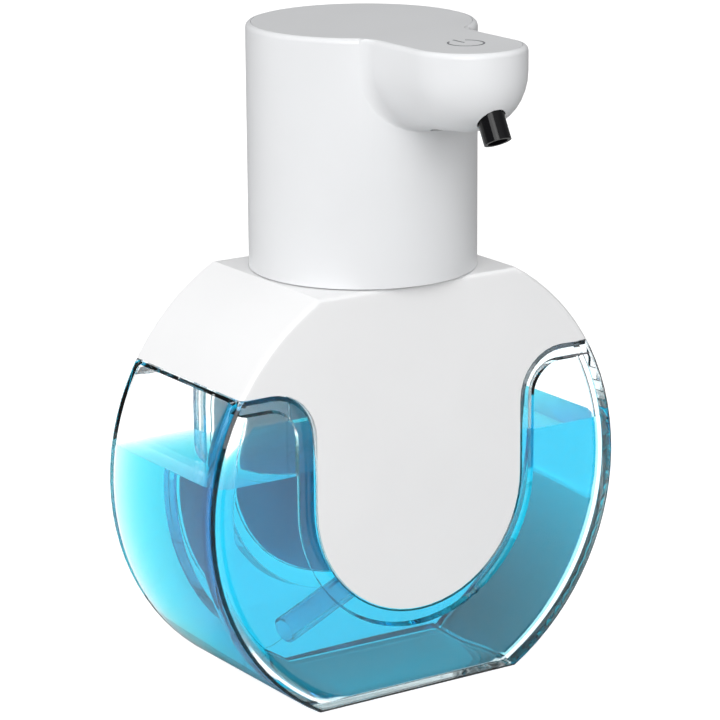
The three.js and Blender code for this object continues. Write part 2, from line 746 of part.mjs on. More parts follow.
function pumpHousing() {
  const body = alongZ([[pumpFloorZ, pumpOutline(chamber + pumpWall)],
    [pumpTopZ, pumpOutline(chamber + pumpWall)]]);
  const earTop = pumpFloorZ + earHeight;
  const ears = postCentres.map(([x, y]) => bar(earRadius, pumpFloorZ, earTop, x, y));
  const inlet = bar(nippleRadius, pumpFloorZ - nippleLength, pumpFloorZ + 1, pumpMiddleX, portY);
  const outletZ = gearZ + gearThickness / 2;
  const outletY = chamber + pumpWall;
  const outlet = alongY([
    [-outletY - nippleLength, arc(pumpMiddleX, outletZ, nippleRadius, 0, 2 * Math.PI, 20)
      .slice(1)],
    [-outletY + 1, arc(pumpMiddleX, outletZ, nippleRadius, 0, 2 * Math.PI, 20).slice(1)],
  ]);
  const outletBore = alongY([
    [-outletY - nippleLength - through,
      arc(pumpMiddleX, outletZ, nippleBore, 0, 2 * Math.PI, 16).slice(1)],
    [-portY + 1, arc(pumpMiddleX, outletZ, nippleBore, 0, 2 * Math.PI, 16).slice(1)],
  ]);
  return cut(
    join(body, ...ears, inlet, outlet),
    bar(chamber, gearZ - gap, pumpTopZ + through, driveX, 0, 32),
    bar(chamber, gearZ - gap, pumpTopZ + through, idlerX, 0, 32),
    bar(nippleBore, pumpFloorZ - nippleLength - through, gearZ, pumpMiddleX, portY, 16),
    outletBore,
    bar(shaftRadius + gap, pumpFloorZ + 1, gearZ, idlerX, 0, 16),
    ...postCentres.map(([x, y]) => bar(screwRadius + gap, pumpFloorZ - through,
      pumpFloorZ + 4, x, y, 16)),
  );
}

function pumpCover() {
  const outline = pumpOutline(chamber + pumpWall);
  return cut(alongZ([[pumpTopZ, outline], [pumpLidTop, outline]]),
    bar(shaftRadius + gap, pumpTopZ - through, pumpLidTop + through, driveX, 0, 16));
}

// A spur gear; a tooth points along +X at turn 0
function gear(x, turnDegrees) {
  const outline = [];
  const pitch = (2 * Math.PI) / gearTeeth;
  const flank = [[gearRoot, toothRoot], [gearSpacing / 2, toothPitch], [gearOuter, toothTip]];
  for (let i = 0; i < gearTeeth; i += 1) {
    const middle = rad(turnDegrees) + i * pitch;
    const rising = flank.map(([radius, share]) => [radius, -share]);
    for (const [radius, share] of [...rising, ...flank.slice().reverse()]) {
      outline.push(new THREE.Vector2(x + radius * Math.cos(middle + share * pitch),
        radius * Math.sin(middle + share * pitch)));
    }
  }
  return cut(alongZ([[gearZ, outline], [gearZ + gearThickness, outline]]),
    bar(shaftRadius + gap, gearZ - through, gearZ + gearThickness + through, x, 0, 16));
}

function motorCan() {
  const chamfer = 1;
  const top = motorZ + motorHeight;
  return cut(
    turned([[0, motorZ], [motorRadius - chamfer, motorZ], [motorRadius, motorZ + chamfer],
      [motorRadius, top], [0, top]], 32).translate([driveX, 0, 0]),
    bar(shaftRadius + gap, motorZ - through, motorZ + shaftInMotor + gap, driveX, 0, 16),
  );
}

function motorEndcap() {
  const top = endcapZ + endcapHeight;
  const tabs = [-1, 1].map((side) => block(driveX - 1, driveX + 1, side * 6 - 0.3, side * 6 + 0.3,
    top - 1, top + tabHeight));
  return join(bar(motorRadius - 0.6, endcapZ, top, driveX, 0, 32), ...tabs);
}

// ---------------------------------------------------------------- nozzle
function nozzle() {
  const round = (radius) => arc(0, barbZ, radius, 0, 2 * Math.PI, 16).slice(1);
  const barb = alongY([[barbRootY, round(nippleRadius)],
    [barbSeatY + barbLength, round(nippleRadius)]]);
  const bore = alongY([[barbRootY, round(nippleBore)],
    [barbSeatY + barbLength + through, round(nippleBore)]]);
  return cut(join(nozzleBar(nozzleRadius, 0, nozzleLength, 32), barb),
    nozzleBar(nozzleBore, -through, nozzleLength - 1.5, 24), bore);
}

function dripValve() {
  return cut(nozzleBar(nozzleBore - gap, 3, 6, 20), nozzleBar(0.6, 2, 7, 8));
}

// ---------------------------------------------------------------- battery and boards
function batteryCell() {
  const z = cellZ;
  const button = 1.2;
  return turned([[0, z], [cellRadius - 0.4, z], [cellRadius, z + 0.4],
    [cellRadius, z + cellLength - button - 0.4], [cellRadius - 0.4, z + cellLength - button],
    [2.6, z + cellLength - button], [2.6, z + cellLength], [0, z + cellLength]], 32)
    .translate([cellX, cellY, 0]);
}

// A cup that grips the cell's foot, open on the side towards the board
function batteryClip() {
  const [inner, outer] = [cellRadius + gap, cellRadius + gap + clipWall];
  const z = chassisTop + gap;
  const cup = turned([[0, z], [outer, z], [outer, z + clipHeight], [inner, z + clipHeight],
    [inner, z + clipFloor], [0, z + clipFloor]], 32);
  const mouth = block(3, outer + through, -4, 4, z + clipFloor + 1, z + clipHeight + through);
  return cut(cup, mouth).translate([cellX, cellY, 0]);
}

function mainBoard() {
  const z = boardFootZ;
  const board = block(boardX, boardX + boardThickness, -boardWidth / 2, boardWidth / 2,
    z, z + boardHeight);
  const chips = [[-6, 22, 5], [6, 14, 3.5], [5, 28, 2.5]].map(([y, up, half]) => block(
    boardX - chipHeight, boardX + 0.2, y - half, y + half, z + up - half, z + up + half));
  return join(board, ...chips);
}

function usbSocket() {
  const x0 = boardX + boardThickness + gap;
  const x1 = x0 + portDepth;
  const shell = portSlab(portWidth / 2, portHeight / 2, 1.4, x0, x1);
  const mouth = portSlab(portWidth / 2 - 0.4, portHeight / 2 - 0.4, 1, x0 + 1, x1 + through);
  return cut(shell, mouth);
}

function portPlug() {
  const lid = portSlab(plugWidth / 2, plugHeight / 2, 1.8, plugSeatX + gap, headRadius + 1)
    .intersect(bar(headRadius, portZ - 10, portZ + 10, 0, 0, 72));
  const tongue = portSlab(portWidth / 2 - 0.8, portHeight / 2 - 0.8, 0.7,
    plugSeatX + gap - plugTongue, plugSeatX + 1);
  return join(lid, tongue);
}

function touchBoard() {
  const z = lidZ - gap;
  const low = z - touchThickness;
  return join(bar(touchRadius, low, z, 0, touchY, 28), block(-1, 1,
    touchY - 0.75 * touchRadius, touchY - 0.55 * touchRadius, low - 0.8, low + 0.2));
}

const ledBaseZ = keelRootZ + headWall + ledLift + ledHeight;
const sensorBoardZ = ledBaseZ + gap;

function sensorBoard() {
  return block(-5, 5, sensorY - sensorBoardHalf, sensorY + sensorBoardHalf, sensorBoardZ,
    sensorBoardZ + sensorBoardThickness);
}

function sensorLed(side) {
  const low = ledBaseZ - ledHeight;
  return turned([[0, low], [ledRadius * 0.6, low + 0.2], [ledRadius, low + 1],
    [ledRadius, ledBaseZ], [0, ledBaseZ]], 16).translate([(side * ledSpacing) / 2, sensorY, 0]);
}

// ---------------------------------------------------------------- hoses and tube
// A round bar along the suction tube's path, which swells into the foot
function pipe(path, radius, foot, past = 0) {
  const [steps, sides] = [28, 12];
  const { tangents, normals, binormals } = path.computeFrenetFrames(steps);
  const length = path.getLength();
  return loft(tangents.map((tangent, i) => {
    const left = length * (1 - i / steps);
    const swell = 1 - THREE.MathUtils.smoothstep(left, footLength, footLength + footTaper);
    const reach = THREE.MathUtils.lerp(radius, foot, swell);
    const beyondEnd = (i === steps ? past : 0) - (i === 0 ? past : 0);
    return arc(0, 0, reach, 0, 2 * Math.PI, sides).slice(1).map((point) => path
      .getPointAt(i / steps).addScaledVector(tangent, beyondEnd)
      .addScaledVector(normals[i], point.x).addScaledVector(binormals[i], point.y));
  }));
}

function suctionTube() {
  const [x, y, z] = tubeEnd;
  const top = skirtBottomZ + 0.2 + tubeSocketDepth;
  // Shares of the way out and up
  const bend = [[0.025, 0.504], [0.172, 0.336], [0.353, 0.275], [0.672, 0.134], [1, 0]];
  const path = new THREE.CatmullRomCurve3([
    [0, 0, top], [0, 0, (top + tubeBendZ) / 2], [0, 0, tubeBendZ],
    ...bend.map(([out, up]) => [x * out, y * out, z + (tubeBendZ - z) * up]),
  ].map((point) => new THREE.Vector3(...point)));
  return cut(pipe(path, tubeRadius, footRadius), pipe(path, tubeBore, footBore, through));
}

function intakeHose() {
  return hose([
    [0, 0, chassisTop + gap], [0, 0, chassisTop + nippleLength / 2],
    [0, 0, chassisTop + nippleLength + gap],
    [pumpMiddleX / 2, portY / 2, (chassisTop + pumpFloorZ) / 2],
    [pumpMiddleX, portY, pumpFloorZ - nippleLength - gap],
    [pumpMiddleX, portY, pumpFloorZ - nippleLength / 2], [pumpMiddleX, portY, pumpFloorZ - gap],
  ], hoseRadius, nippleRadius + gap, 10);
}

function outletHose() {
  const z = gearZ + gearThickness / 2;
  const y = -(chamber + pumpWall) - gap;
  const overSensorZ = sensorBoardZ + sensorBoardThickness + hoseRadius + 2 * gap;
  // It climbs just inside the drum's front, then goes over the sensor's board
  const columnY = -(headRadius - headWall - hoseRadius - 1.7);
  const boardBackY = sensorY + sensorBoardHalf;
  const climb = [[0.62 * columnY, 0.04], [0.87 * columnY, 0.28], [columnY, 0.6],
    [(columnY + boardBackY) / 2, 0.9]];
  return hose([
    [pumpMiddleX, y, z], [pumpMiddleX, y - nippleLength - gap, z],
    ...climb.map(([ahead, up]) => [pumpMiddleX * (1 - up), ahead, z + (overSensorZ - z) * up]),
    [0, boardBackY, overSensorZ + 0.2],
    [0, sensorY - sensorBoardHalf - gap, overSensorZ],
    [0, barbSeatY + barbLength + 1.2, barbZ], [0, barbSeatY + barbLength / 2, barbZ],
    [0, barbSeatY, barbZ],
  ], hoseRadius, nippleRadius + gap, 24);
}

// ---------------------------------------------------------------- assembly
const whitePlastic = () => finish(0xf1f2f4, 0.32);
const brightMetal = () => finish(0xc9ccd0, 0.3, 1);
const darkBoard = () => finish(0x1f5a3c, 0.55);

const dispenser = new THREE.Group();
dispenser.position.set(0, -(back + gap + plateThickness + padThickness), -mountZ);

function piece(name, shape, material) {
  const geometry = shape.isBufferGeometry ? shape : toGeometry(shape);
  const mesh = new THREE.Mesh(geometry, material);
  mesh.name = name;
  dispenser.add(mesh);
  return mesh;
}

piece('adhesive_pad', adhesivePad(), finish(0x8d9196, 0.9));
piece('wall_plate', wallPlate(), finish(0xe9eaec, 0.45));
piece('bottle', bottle(), finish(0xd9f3fb, 0.05, 0, { transparent: true, opacity: 0.35 }));
piece('shoulder_cover', shoulderCover(), whitePlastic());
piece('seal_ring', sealRing(), finish(0x2b2c2e, 0.85));
piece('suction_tube', suctionTube(), finish(0xdfeff3, 0.2));
piece('head_shell', headShell(), whitePlastic());
piece('top_cover', topCover(), whitePlastic());
piece('head_chassis', headChassis(), finish(0xd8dadd, 0.5));
piece('vent_valve', ventValve(), finish(0x33353a, 0.8));
piece('pump_housing', pumpHousing(), finish(0xdfe1e4, 0.45));
piece('pump_cover', pumpCover(), finish(0xcfd2d6, 0.45));
piece('drive_shaft', bar(shaftRadius, gearZ, motorZ + shaftInMotor, driveX, 0, 16), brightMetal());
piece('drive_gear', gear(driveX, 0), finish(0xf3efe4, 0.4));
piece('idler_gear', gear(idlerX, 180 / gearTeeth), finish(0xf3efe4, 0.4));
piece('idler_pin', bar(shaftRadius, pumpFloorZ + 1 + gap, pumpTopZ - gap, idlerX, 0, 16),
  brightMetal());
piece('motor_can', motorCan(), brightMetal());
piece('motor_endcap', motorEndcap(), finish(0x2c2d30, 0.6));
piece('intake_hose', intakeHose(), finish(0xe8e6e0, 0.6));
piece('outlet_hose', outletHose(), finish(0xe8e6e0, 0.6));
piece('nozzle', nozzle(), finish(0x0c0c0d, 0.15));
piece('drip_valve', dripValve(), finish(0x1b1b1d, 0.8));
piece('battery', batteryCell(), finish(0x2f6fb5, 0.4));
piece('battery_clip', batteryClip(), finish(0x3a3b3f, 0.6));
piece('main_board', mainBoard(), darkBoard());
piece('usb_socket', usbSocket(), brightMetal());
piece('port_plug', portPlug(), finish(0xe4e5e7, 0.7));
piece('touch_board', touchBoard(), darkBoard());
piece('sensor_window', sensorWindow(), finish(0x141416, 0.1));
piece('sensor_board', sensorBoard(), darkBoard());
piece('ir_emitter', sensorLed(-1), finish(0x8f98b8, 0.2));
piece('ir_receiver', sensorLed(1), finish(0x1a1a1e, 0.2));

for (const [i, [x, y]] of bossCentres.entries()) {
  piece(`chassis_screw_${i + 1}`, screw(), brightMetal()).position.set(x, y, chassisZ - gap);
}
for (const [i, [x, y]] of postCentres.entries()) {
  const mesh = piece(`pump_screw_${i + 1}`, screw(), brightMetal());
  mesh.rotation.x = Math.PI;
  mesh.position.set(x, y, pumpFloorZ + earHeight + gap);
}

export default dispenser;
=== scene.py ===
import json
import math

import bmesh
import bpy
from mathutils import Matrix, Quaternion, Vector

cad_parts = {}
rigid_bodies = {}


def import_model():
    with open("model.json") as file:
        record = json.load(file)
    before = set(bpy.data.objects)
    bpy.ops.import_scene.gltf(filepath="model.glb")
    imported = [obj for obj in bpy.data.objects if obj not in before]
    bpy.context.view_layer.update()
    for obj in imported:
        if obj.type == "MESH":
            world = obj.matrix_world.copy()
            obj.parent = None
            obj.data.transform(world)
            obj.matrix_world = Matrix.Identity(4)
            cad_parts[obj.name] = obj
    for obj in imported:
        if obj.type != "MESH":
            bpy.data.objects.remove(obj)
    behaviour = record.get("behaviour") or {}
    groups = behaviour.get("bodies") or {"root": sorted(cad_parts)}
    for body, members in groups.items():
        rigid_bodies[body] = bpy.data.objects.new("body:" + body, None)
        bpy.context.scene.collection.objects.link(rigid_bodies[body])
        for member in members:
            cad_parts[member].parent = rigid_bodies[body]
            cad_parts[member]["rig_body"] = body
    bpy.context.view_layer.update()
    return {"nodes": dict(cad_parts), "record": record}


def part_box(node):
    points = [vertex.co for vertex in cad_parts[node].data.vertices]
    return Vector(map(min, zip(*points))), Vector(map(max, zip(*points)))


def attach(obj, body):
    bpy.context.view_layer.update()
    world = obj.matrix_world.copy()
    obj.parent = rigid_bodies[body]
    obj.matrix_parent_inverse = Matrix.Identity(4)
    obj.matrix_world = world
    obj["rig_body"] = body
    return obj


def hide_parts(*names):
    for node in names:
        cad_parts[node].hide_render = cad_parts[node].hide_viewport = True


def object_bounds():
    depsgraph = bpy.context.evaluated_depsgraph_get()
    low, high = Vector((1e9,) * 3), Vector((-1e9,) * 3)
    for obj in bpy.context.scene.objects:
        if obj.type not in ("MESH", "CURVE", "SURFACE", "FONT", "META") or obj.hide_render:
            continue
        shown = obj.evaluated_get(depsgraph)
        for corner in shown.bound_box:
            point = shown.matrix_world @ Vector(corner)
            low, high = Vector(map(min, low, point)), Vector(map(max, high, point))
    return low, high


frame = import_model()
nodes = frame["nodes"]
slots = {row["node"]: row["material_slot"] for row in frame["record"]["subparts"]}
scene = bpy.context.scene
MM = 0.001

# The dispenser's own sizes that its Blender pieces follow
HEAD_AXIS_Y = -30.3  # in millimetres
BOTTLE_RADIUS = 62 * MM
BOTTLE_CENTRE_UP = 54 * MM
BOTTLE_WALL = 1.4 * MM
CHAMBER_TOP_UP, CHAMBER_BASE_UP = 84.2 * MM, 1.8 * MM
SOAP_LEVEL = -8 * MM

SAME_PLACE = 0.002 * MM  # vertices this close are one
ON_LINE = 0.03 * MM  # a vertex this close to a line or plane lies on it
FLAT_ANGLE = 0.4  # faces that bend less than this, in degrees, are one
SHARP_ANGLE = 28  # edges that bend more than this are shaded as sharp
HARD_ANGLE = 50  # edges that bend more than this are rounded off
RIM_ANGLE = 60  # edges that bend more than this are a rim


# ------------------------------------------------------------------ camera
CAMERA_PLACE = (-0.44425, -0.70045, 0.22638)
TOWARDS_CAMERA = (-0.53270, -0.80567, 0.25909)
CAMERA_ROLL = -0.41  # degrees


def make_camera():
    data = bpy.data.cameras.new("camera")
    data.lens = 160.9
    data.sensor_width = 36
    data.clip_start, data.clip_end = 0.05, 20
    camera = bpy.data.objects.new("camera", data)
    scene.collection.objects.link(camera)
    back = Vector(TOWARDS_CAMERA).normalized()
    camera.location = CAMERA_PLACE
    camera.rotation_mode = "QUATERNION"
    roll = Quaternion(back, math.radians(CAMERA_ROLL))
    camera.rotation_quaternion = roll @ (-back).to_track_quat("-Z", "Y")
    scene.camera = camera


make_camera()


# ------------------------------------------------------------------ shader helpers
DRIFT_SCALE = 35
GRAIN_DEPTH = 0.2 * MM


def new_material(name):
    material = bpy.data.materials.new(name)
    material.use_nodes = True
    shader = material.node_tree.nodes["Principled BSDF"]
    return material, shader, material.node_tree


def add_noise(tree, scale):
    """A noise over the piece's own coordinates."""
    where = tree.nodes.new("ShaderNodeTexCoord")
    noise = tree.nodes.new("ShaderNodeTexNoise")
    noise.inputs["Scale"].default_value = scale
    tree.links.new(where.outputs["Object"], noise.inputs["Vector"])
    return noise


def add_ramp(tree, value, stops):
    """A colour scale over a value, with a stop for each (place, colour)."""
    ramp = tree.nodes.new("ShaderNodeValToRGB")
    for _ in stops[2:]:
        ramp.color_ramp.elements.new(0.5)
    for element, (place, color) in zip(ramp.color_ramp.elements, stops):
        element.position = place
        element.color = (*color, 1)
    tree.links.new(value, ramp.inputs["Fac"])
    return ramp.outputs["Color"]


def add_mix(tree, blend="MIX"):
    mix = tree.nodes.new("ShaderNodeMix")
    mix.data_type = "RGBA"
    mix.blend_type = blend
    return mix


def add_math(tree, operation, *values):
    """A math node over sockets and numbers."""
    node = tree.nodes.new("ShaderNodeMath")
    node.operation = operation
    for socket, value in zip(node.inputs, values):
        if isinstance(value, (int, float)):
            socket.default_value = value
        else:
            tree.links.new(value, socket)
    return node.outputs["Value"]


def add_drift(tree, shader, color, spread):
    """A faint, broad drift in the base colour, down to a share below it."""
    drift = add_noise(tree, DRIFT_SCALE)
    deep = [channel * (1 - spread) for channel in color]
    tint = add_ramp(tree, drift.outputs["Fac"], [(0.3, deep), (0.7, color)])
    tree.links.new(tint, shader.inputs["Base Color"])
    return drift


def add_grain(tree, shader, scale, strength):
    """A fine relief in the surface."""
    noise = add_noise(tree, scale)
    noise.inputs["Detail"].default_value = 4
    bump = tree.nodes.new("ShaderNodeBump")
    bump.inputs["Strength"].default_value = strength
    bump.inputs["Distance"].default_value = GRAIN_DEPTH
    tree.links.new(noise.outputs["Fac"], bump.inputs["Height"])
    tree.links.new(bump.outputs["Normal"], shader.inputs["Normal"])


# ------------------------------------------------------------------ materials
def moulded(name, color, roughness, grain=900, strength=0.08, spread=0.02, metallic=0.0):
    """Plastic, rubber or metal: fine grain, and a faint drift in colour and gloss."""
    material, shader, tree = new_material(name)
    shader.inputs["Metallic"].default_value = metallic
    add_grain(tree, shader, grain, strength)
    drift = add_drift(tree, shader, color, spread)
    rough = tree.nodes.new("ShaderNodeMapRange")
    rough.inputs["To Min"].default_value = roughness * 0.9
    rough.inputs["To Max"].default_value = roughness * 1.1
    tree.links.new(drift.outputs["Fac"], rough.inputs["Value"])
    tree.links.new(rough.outputs["Result"], shader.inputs["Roughness"])
    return material


def clear(name, ior, density=0, tint=(1, 1, 1), base=(1, 1, 1), roughness=0.0, weight=1.0):
    """Clear plastic or liquid: colour that deepens with thickness, and a faint drift."""
    material, shader, tree = new_material(name)
    add_drift(tree, shader, base, 0.015)
    shader.inputs["Transmission Weight"].default_value = weight
    shader.inputs["IOR"].default_value = ior
    shader.inputs["Roughness"].default_value = roughness
    if density:
        volume = tree.nodes.new("ShaderNodeVolumeAbsorption")
        volume.inputs["Color"].default_value = (*tint, 1)
        volume.inputs["Density"].default_value = density
        output = tree.nodes["Material Output"]
        tree.links.new(volume.outputs["Volume"], output.inputs["Volume"])
    return material


def paint_edge_shade(material):
    """Painted shade: the clear body's front edge, marked by the attribute "edge", gets a dark
    line in its base colour, standing in for the dark refraction along that edge.
    """
    tree = material.node_tree
    edge = tree.nodes.new("ShaderNodeAttribute")
    edge.attribute_name = "edge"
    line = add_ramp(
        tree, edge.outputs["Fac"], [(0.55, (1, 1, 1)), (0.9, (0.003, 0.004, 0.005))])
    base = tree.nodes["Principled BSDF"].inputs["Base Color"]
    both = add_mix(tree, "MULTIPLY")
    both.inputs["Factor"].default_value = 1
    tree.links.new(base.links[0].from_socket, both.inputs["A"])
    tree.links.new(line, both.inputs["B"])
    tree.links.new(both.outputs["Result"], base)


white_plastic = moulded("white_plastic", (0.83, 0.84, 0.855), 0.3, strength=0.03)
cover_plastic = moulded("cover_plastic", (0.935, 0.937, 0.943), 0.34, strength=0.03)
clear_plastic = clear("clear_plastic", 1.49, 6, (0.75, 0.85, 0.9))
# The clear plastic's front edge gets a painted dark line of shade
paint_edge_shade(clear_plastic)
# Painted shade: a near-black clear material for the rim chamfers
painted_shade_line = clear("painted_shade_line", 1.49, base=(0.01, 0.016, 0.02))
soap_liquid = clear("soap_liquid", 1.2, 135, (0, 0.9, 0.955))
clear_tube = clear("clear_tube", 1.15, base=(0.72, 0.86, 0.95), roughness=0.12, weight=0.84)
black_plastic = moulded("black_plastic", (0.005, 0.005, 0.006), 0.1, strength=0.03)
black_plastic.node_tree.nodes["Principled BSDF"].inputs["Specular IOR Level"].default_value = 0.3
mark_grey = moulded("mark_grey", (0.16, 0.165, 0.18), 0.4)
finish_of_slot = {
    "white_plastic": white_plastic,
    "clear_plastic": clear_plastic,
    "clear_tube": clear_tube,
    "black_plastic": black_plastic,
    "bracket_plastic": moulded("bracket_plastic", (0.7, 0.71, 0.73), 0.45),
    "dark_rubber": moulded("dark_rubber", (0.03, 0.03, 0.032), 0.6, 400, 0.2),
    "white_rubber": moulded("white_rubber", (0.78, 0.78, 0.77), 0.55, 500, 0.15),
    "foam_pad": moulded("foam_pad", (0.12, 0.125, 0.13), 0.85, 300, 0.5, 0.2),
    "grey_plastic": moulded("grey_plastic", (0.5, 0.51, 0.53), 0.4),
    "nylon": moulded("nylon", (0.8, 0.77, 0.68), 0.4),
    "steel": moulded("steel", (0.6, 0.61, 0.63), 0.28, 1200, 0.1, 0.1, 1.0),
    "cell_wrap": moulded("cell_wrap", (0.05, 0.2, 0.5), 0.3),
    "circuit_board": moulded("circuit_board", (0.02, 0.12, 0.05), 0.35, 600, 0.1, 0.25),
    "smoke_lens": moulded("smoke_lens", (0.01, 0.01, 0.012), 0.06),
    "lamp_clear": moulded("lamp_clear", (0.35, 0.38, 0.5), 0.1),
}
for name, node in nodes.items():
    node.data.materials.clear()
    node.data.materials.append(finish_of_slot[slots[name]])


# ------------------------------------------------------------------ pieces from CAD nodes
def shade_smooth(work, angle=SHARP_ANGLE):
    """Smooth faces, with edges that bend more than the angle kept sharp."""
    for face in work.faces:
        face.smooth = True
    for edge in work.edges:
        edge.smooth = edge.calc_face_angle(0) < math.radians(angle)


def smooth_copy(node, angle=SHARP_ANGLE, round_off=0.0, reshape=None):
    """A piece from a CAD node's own mesh, merged, with its hard edges rounded off."""
    mesh = nodes[node].data.copy()
    work = bmesh.new()
    work.from_mesh(mesh)
    bmesh.ops.remove_doubles(work, verts=work.verts, dist=SAME_PLACE)
    bmesh.ops.dissolve_limit(
        work, angle_limit=math.radians(FLAT_ANGLE), use_dissolve_boundaries=False,
        verts=work.verts, edges=work.edges, delimit={"NORMAL"})
    if reshape:
        reshape(work)
    if round_off:
        hard = [e for e in work.edges if e.calc_face_angle(0) > math.radians(HARD_ANGLE)]
        bmesh.ops.bevel(
            work, geom=hard, offset=round_off * MM, offset_type="OFFSET", segments=3,
            profile=0.5, affect="EDGES", clamp_overlap=True, material=-1)
    shade_smooth(work, angle)
    work.to_mesh(mesh)
    work.free()
    piece = bpy.data.objects.new(node + "_skin", mesh)
    scene.collection.objects.link(piece)
    weighted = piece.modifiers.new("face_weights", "WEIGHTED_NORMAL")
    weighted.keep_sharp = True
    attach(piece, nodes[node]["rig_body"])
    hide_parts(node)
    return piece


# ------------------------------------------------------------------ bottle
def mark_painted_edge_shade(work, low, centre_z):
    """Mark both rows of vertices along the rounding of the outer front edge, where the painted
    dark line of shade goes.
    """
    edge = work.verts.layers.float.new("edge")
    rows = ((0.8 * MM, 0.214 * MM), (0.214 * MM, 0.8 * MM))  # depth from outside, from front
    for vert in work.verts:
        out = math.hypot(vert.co.x, vert.co.z - centre_z)
        outside = min(BOTTLE_RADIUS - out, vert.co.z - low.z)
        front = vert.co.y - low.y
        for from_outside, from_front in rows:
            if abs(outside - from_outside) < ON_LINE and abs(front - from_front) < ON_LINE:
                vert[edge] = 1


def sharpen_back_rounding(work, low, high, centre_z):
    """The rounding inside the back edge, soft in the CAD bottle, is made sharp.

    Each vertex on the soft rounding goes to the same turn of the sharp one.
    """
    soft, sharp, steps = 5.5 * MM, 1.6 * MM, 6
    inner_radius, inner_back = BOTTLE_RADIUS - BOTTLE_WALL, high.y - BOTTLE_WALL
    top, base = low.z + CHAMBER_TOP_UP, low.z + CHAMBER_BASE_UP
    base_share = 0.2  # the rounding is this much flatter along the base
    turns = [math.pi / 2 * i / steps for i in range(steps + 1)]

    def depth(rounding, turn):
        return rounding * (1 - math.cos(turn))

    def inset(rounding, turn):
        return rounding * (1 - math.sin(turn))

    for vert in work.verts:
        back = inner_back - vert.co.y
        if not -ON_LINE < back < soft - ON_LINE / 4:
            continue
        back = max(back, 0)
        step = max(i for i in range(steps) if depth(soft, turns[i]) <= back + 1e-9)
        here, there = turns[step], turns[step + 1]
        share = (back - depth(soft, here)) / (depth(soft, there) - depth(soft, here))

        def between(rule, rounding):
            return rule(rounding, here) * (1 - share) + rule(rounding, there) * share

        old, new = between(inset, soft), between(inset, sharp)
        flat = Vector((vert.co.x, vert.co.z - centre_z))
        on_round = abs(flat.length - (inner_radius - old)) < ON_LINE
        on_top = abs(vert.co.z - (top - old)) < ON_LINE
        on_base = abs(vert.co.z - (base + base_share * old)) < ON_LINE
        if not (on_round or on_top or on_base):
            continue
        if on_round:
            flat *= (inner_radius - new) / flat.length
        if on_top or on_base:
            flat.y = (top - new if on_top else base + base_share * new) - centre_z
            if on_round:
                half = math.sqrt((inner_radius - new) ** 2 - flat.y ** 2)
                flat.x = math.copysign(half, flat.x)
        vert.co = (flat.x, inner_back - between(depth, sharp), flat.y + centre_z)


def paint_shade_on_rim_chamfers(work, low, high, centre_z):
    """Narrow chamfers along both rims, wider on the arch beside the front tongue, painted dark as
    the shade of the rims and the shadow gap beside the cover.
    """
    arch_up, arch_radius = 71 * MM, 60.3 * MM

    def on_arch(edge):
        middle = (edge.verts[0].co + edge.verts[1].co) / 2
        out = math.hypot(middle.x, middle.z - centre_z)
        return middle.z > low.z + arch_up and out < arch_radius

    def chamfer(width, plane, keep):
        work.normal_update()
        rim = [e for e in work.edges if e.calc_face_angle(0) > math.radians(RIM_ANGLE)
               and all(abs(v.co.y - plane) < ON_LINE for v in e.verts) and keep(e)]
        strip = bmesh.ops.bevel(
            work, geom=rim, offset=width * MM, offset_type="OFFSET", segments=1,
            profile=0.5, affect="EDGES", clamp_overlap=False, material=-1)
        # The chamfer strips take the second slot, the painted dark shade
        for face in strip["faces"]:
            face.material_index = 1

    chamfer(1.0, low.y, on_arch)
    chamfer(0.36, low.y, lambda edge: not on_arch(edge))
    chamfer(0.16, high.y, lambda edge: True)


def shape_bottle(work):
    """The bottle's copy gets the edges that show in its clear walls: a sharper back rounding, and
    painted dark lines of shade along the front edge and the rims.
    """
    low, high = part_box("bottle")
    centre_z = low.z + BOTTLE_CENTRE_UP
    # The marked rows carry the painted dark edge line
    mark_painted_edge_shade(work, low, centre_z)
    sharpen_back_rounding(work, low, high, centre_z)
    paint_shade_on_rim_chamfers(work, low, high, centre_z)


smooth_copy("head_shell", angle=42)
smooth_copy("top_cover")
cover = smooth_copy("shoulder_cover", round_off=0.35)
cover.data.materials[0] = cover_plastic
smooth_copy("nozzle", round_off=0.15)
smooth_copy("suction_tube")
bottle = smooth_copy("bottle", reshape=shape_bottle)
# The second slot holds the painted shade of the rim chamfers
bottle.data.materials.append(painted_shade_line)
smooth_copy("adhesive_pad", round_off=0.25)
smooth_copy("wall_plate", round_off=0.25)
smooth_copy("port_plug", round_off=0.2)
smooth_copy("sensor_window", round_off=0.1)
for inner_piece in ("seal_ring", "head_chassis", "intake_hose", "vent_valve", "drip_valve"):
    smooth_copy(inner_piece)


# ------------------------------------------------------------------ soap
def soap_blank(low, high):
    """A disc that ends inside the bottle's walls, cut off at the soap's level and at the base."""
    centre_y = ((low + high) / 2).y
    radius, width, base_up = 61.3 * MM, 50.2 * MM, 1 * MM
    work = bmesh.new()
    bmesh.ops.create_cone(
        work, cap_ends=True, segments=200, radius1=radius, radius2=radius, depth=width)
    stand = (Matrix.Translation((0, centre_y, low.z + BOTTLE_CENTRE_UP))
             @ Matrix.Rotation(math.pi / 2, 4, "X"))
    bmesh.ops.transform(work, matrix=stand, verts=work.verts)
    for height, side in ((SOAP_LEVEL, 1), (low.z + base_up, -1)):
        cutting = bmesh.ops.bisect_plane(
            work, geom=[*work.verts, *work.edges, *work.faces], plane_co=(0, 0, height),
            plane_no=(0, 0, side), clear_outer=True)
        ring = [e for e in cutting["geom_cut"] if isinstance(e, bmesh.types.BMEdge)]
        bmesh.ops.edgeloop_fill(work, edges=ring)
    bmesh.ops.recalc_face_normals(work, faces=work.faces)
    return work


